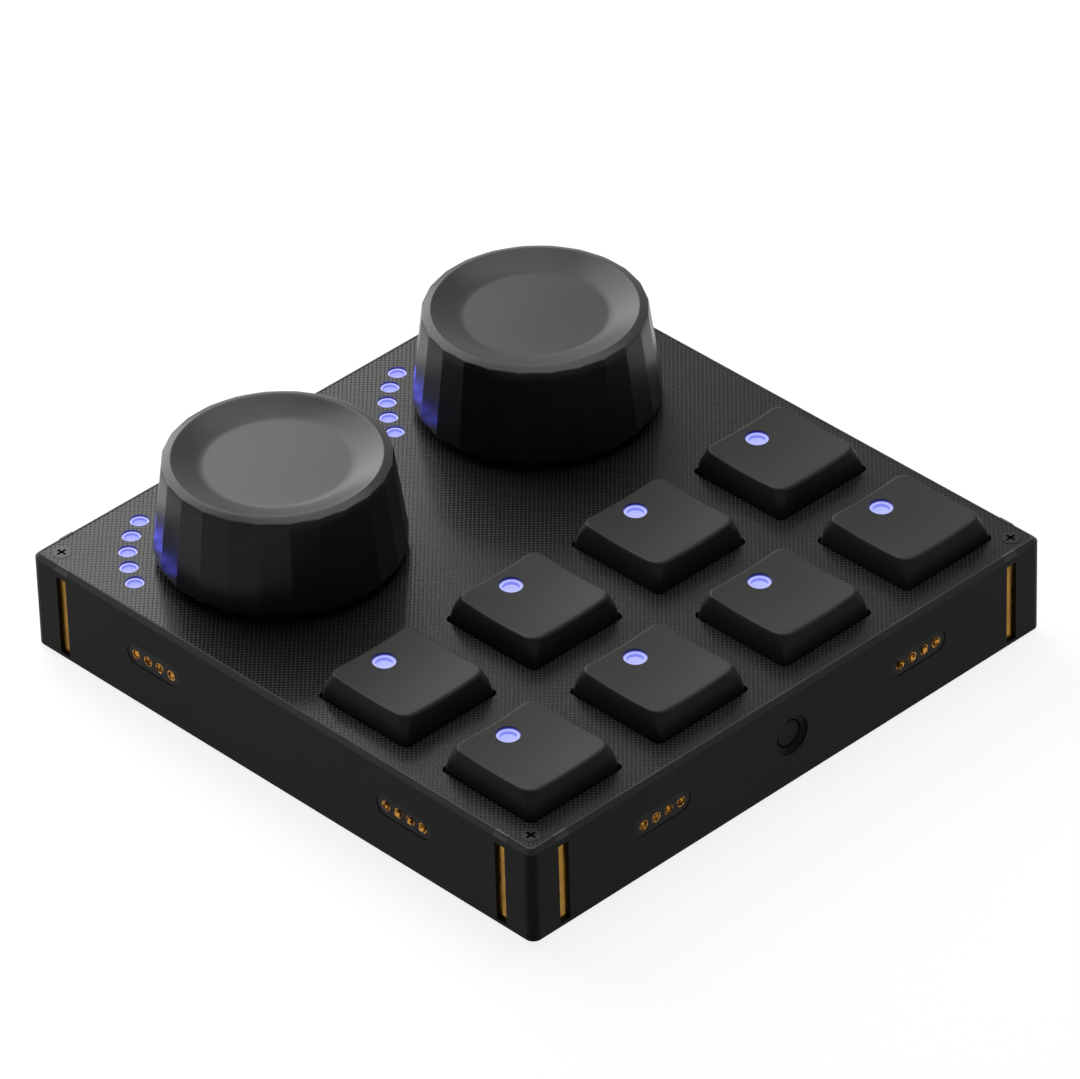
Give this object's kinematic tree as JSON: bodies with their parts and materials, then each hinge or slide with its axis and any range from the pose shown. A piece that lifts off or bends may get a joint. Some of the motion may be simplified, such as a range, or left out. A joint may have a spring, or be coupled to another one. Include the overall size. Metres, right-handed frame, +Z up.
{
  "type": "macro keypad with knobs",
  "caption": "Square desktop macro keypad module with lit low-profile keys, two faceted dished knobs that turn and push, and pin connectors and bar magnets in its sides.",
  "frame": {"origin": "centre of the square footprint, on the surface that the rubber feet stand on", "axes": "+Z up, -Y towards the user (the key rows), +X to the right"},
  "size_m": [0.1072, 0.1072, 0.034],
  "materials": {
    "case_black": "fine matte black moulding",
    "faceplate_black": "matte black board surface with a fine diagonal mesh",
    "screw_black": "black oxide",
    "board_green": "soldermask",
    "zinc": "plated steel",
    "switch_black": "moulded housing",
    "switch_smoke": "translucent housing cover",
    "light_emitter": "lit package",
    "light_pipe": "frosted light guide, lit",
    "encoder_metal": "plated frame and bushing",
    "block_black": "moulded pin block",
    "gold": "gold plated",
    "magnet_gold": "gold plated bar",
    "rubber_black": "matte rubber",
    "switch_grey": "moulded",
    "cap_black": "smooth matte keycap",
    "stem_orange": "moulded stem",
    "spring_steel": "bare wire",
    "knob_black": "satin black, turned and faceted"
  },
  "bodies": {
    "case_body": {"case": "case_black", "faceplate": "faceplate_black", "faceplate_screws": "screw_black", "main_board": "board_green", "board_screws": "zinc", "switch_bases": "switch_black", "switch_tops": "switch_smoke", "board_lights": "light_emitter", "light_pipes": "light_pipe", "encoder_bodies": "encoder_metal", "connector_blocks": "block_black", "socket_contacts": "gold", "plunger_barrels": "gold", "bar_magnets": "magnet_gold", "rubber_feet": "rubber_black", "usb_socket": "zinc", "button_switch": "switch_grey", "key_spring_1": "spring_steel", "key_spring_2": "spring_steel", "key_spring_3": "spring_steel", "key_spring_4": "spring_steel", "key_spring_5": "spring_steel", "key_spring_6": "spring_steel", "key_spring_7": "spring_steel", "key_spring_8": "spring_steel"},
    "button_body": {"front_button": "cap_black"},
    "key_1": {"keycap_1": "cap_black", "key_window_1": "light_pipe", "key_stem_1": "stem_orange"},
    "key_2": {"keycap_2": "cap_black", "key_window_2": "light_pipe", "key_stem_2": "stem_orange"},
    "key_3": {"keycap_3": "cap_black", "key_window_3": "light_pipe", "key_stem_3": "stem_orange"},
    "key_4": {"keycap_4": "cap_black", "key_window_4": "light_pipe", "key_stem_4": "stem_orange"},
    "key_5": {"keycap_5": "cap_black", "key_window_5": "light_pipe", "key_stem_5": "stem_orange"},
    "key_6": {"keycap_6": "cap_black", "key_window_6": "light_pipe", "key_stem_6": "stem_orange"},
    "key_7": {"keycap_7": "cap_black", "key_window_7": "light_pipe", "key_stem_7": "stem_orange"},
    "key_8": {"keycap_8": "cap_black", "key_window_8": "light_pipe", "key_stem_8": "stem_orange"},
    "push_left": {"push_plunger_left": "switch_grey"},
    "turn_left": {"knob_left": "knob_black", "encoder_shaft_left": "encoder_metal"},
    "push_right": {"push_plunger_right": "switch_grey"},
    "turn_right": {"knob_right": "knob_black", "encoder_shaft_right": "encoder_metal"},
    "pins_front": {"plungers_front": "gold"},
    "pins_right": {"plungers_right": "gold"},
    "pins_back": {"plungers_back": "gold"},
    "pins_left": {"plungers_left": "gold"}
  },
  "joints": [
    {"name": "key_1_press", "type": "slide", "parent": "case_body", "child": "key_1", "axis": [0, 0, -1], "range_m": [0, 0.003], "stiffness_N_per_m": 150, "springref_m": -0.001, "deforming": ["key_spring_1"]},
    {"name": "key_2_press", "type": "slide", "parent": "case_body", "child": "key_2", "axis": [0, 0, -1], "range_m": [0, 0.003], "stiffness_N_per_m": 150, "springref_m": -0.001, "deforming": ["key_spring_2"]},
    {"name": "key_3_press", "type": "slide", "parent": "case_body", "child": "key_3", "axis": [0, 0, -1], "range_m": [0, 0.003], "stiffness_N_per_m": 150, "springref_m": -0.001, "deforming": ["key_spring_3"]},
    {"name": "key_4_press", "type": "slide", "parent": "case_body", "child": "key_4", "axis": [0, 0, -1], "range_m": [0, 0.003], "stiffness_N_per_m": 150, "springref_m": -0.001, "deforming": ["key_spring_4"]},
    {"name": "key_5_press", "type": "slide", "parent": "case_body", "child": "key_5", "axis": [0, 0, -1], "range_m": [0, 0.003], "stiffness_N_per_m": 150, "springref_m": -0.001, "deforming": ["key_spring_5"]},
    {"name": "key_6_press", "type": "slide", "parent": "case_body", "child": "key_6", "axis": [0, 0, -1], "range_m": [0, 0.003], "stiffness_N_per_m": 150, "springref_m": -0.001, "deforming": ["key_spring_6"]},
    {"name": "key_7_press", "type": "slide", "parent": "case_body", "child": "key_7", "axis": [0, 0, -1], "range_m": [0, 0.003], "stiffness_N_per_m": 150, "springref_m": -0.001, "deforming": ["key_spring_7"]},
    {"name": "key_8_press", "type": "slide", "parent": "case_body", "child": "key_8", "axis": [0, 0, -1], "range_m": [0, 0.003], "stiffness_N_per_m": 150, "springref_m": -0.001, "deforming": ["key_spring_8"]},
    {"name": "knob_left_push", "type": "slide", "parent": "case_body", "child": "push_left", "axis": [0, 0, -1], "range_m": [0, 0.0005], "stiffness_N_per_m": 4000, "springref_m": -0.0004},
    {"name": "knob_left_turn", "type": "hinge", "parent": "push_left", "child": "turn_left", "pos_m": [-0.02675, 0.02675, 0.0174], "axis": [0, 0, 1], "continuous": true},
    {"name": "knob_right_push", "type": "slide", "parent": "case_body", "child": "push_right", "axis": [0, 0, -1], "range_m": [0, 0.0005], "stiffness_N_per_m": 4000, "springref_m": -0.0004},
    {"name": "knob_right_turn", "type": "hinge", "parent": "push_right", "child": "turn_right", "pos_m": [0.02675, 0.02675, 0.0174], "axis": [0, 0, 1], "continuous": true},
    {"name": "front_button_press", "type": "slide", "parent": "case_body", "child": "button_body", "axis": [0, 1, 0], "range_m": [0, 0.0004], "stiffness_N_per_m": 4000, "springref_m": -0.0002},
    {"name": "plungers_front_press", "type": "slide", "parent": "case_body", "child": "pins_front", "axis": [0, 1, 0], "range_m": [0, 0.0007], "stiffness_N_per_m": 1500, "springref_m": -0.0003},
    {"name": "plungers_right_press", "type": "slide", "parent": "case_body", "child": "pins_right", "axis": [-1, 0, 0], "range_m": [0, 0.0007], "stiffness_N_per_m": 1500, "springref_m": -0.0003},
    {"name": "plungers_back_press", "type": "slide", "parent": "case_body", "child": "pins_back", "axis": [0, -1, 0], "range_m": [0, 0.0007], "stiffness_N_per_m": 1500, "springref_m": -0.0003},
    {"name": "plungers_left_press", "type": "slide", "parent": "case_body", "child": "pins_left", "axis": [1, 0, 0], "range_m": [0, 0.0007], "stiffness_N_per_m": 1500, "springref_m": -0.0003}
  ]
}
